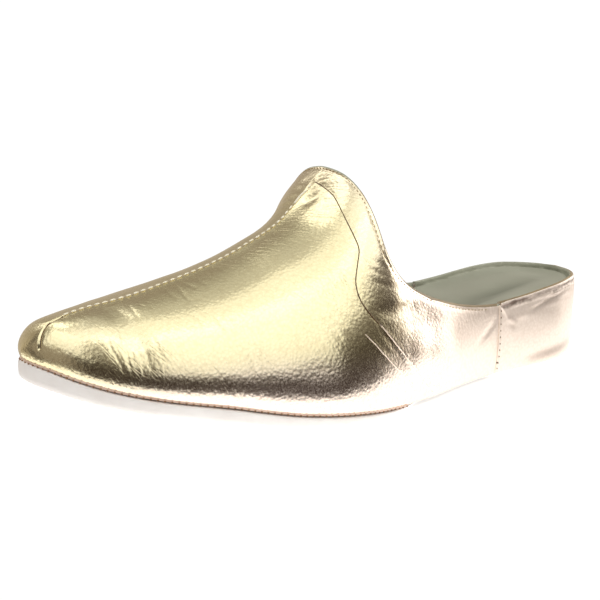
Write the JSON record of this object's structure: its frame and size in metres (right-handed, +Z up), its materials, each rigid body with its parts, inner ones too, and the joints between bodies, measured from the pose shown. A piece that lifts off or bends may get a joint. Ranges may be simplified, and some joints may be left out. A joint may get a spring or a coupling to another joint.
{
  "type": "slipper",
  "caption": "Closed-toe, backless leather slipper with a high round tongue, centre seam, low sides, covered wedge heel, padded footbed and soft pale sole.",
  "frame": {"origin": "on the floor, at the middle of the sole's flat bottom under the heel seat", "axes": "+X from heel to toe, +Y to the wearer's left (the outer side of this left slipper), +Z up"},
  "size_m": [0.2474, 0.0888, 0.0874],
  "materials": {
    "upper_leather": "gold foil leather, soft fine grain, glossy",
    "heel_leather": "rose-gold foil leather, soft fine grain, glossy",
    "footbed_leather": "satin sage grey lining leather",
    "sole": "matt pale grey soft sole"
  },
  "bodies": {
    "root": {"upper": "upper_leather", "wedge_heel": "heel_leather", "insole": "footbed_leather", "outsole": "sole"}
  },
  "joints": []
}
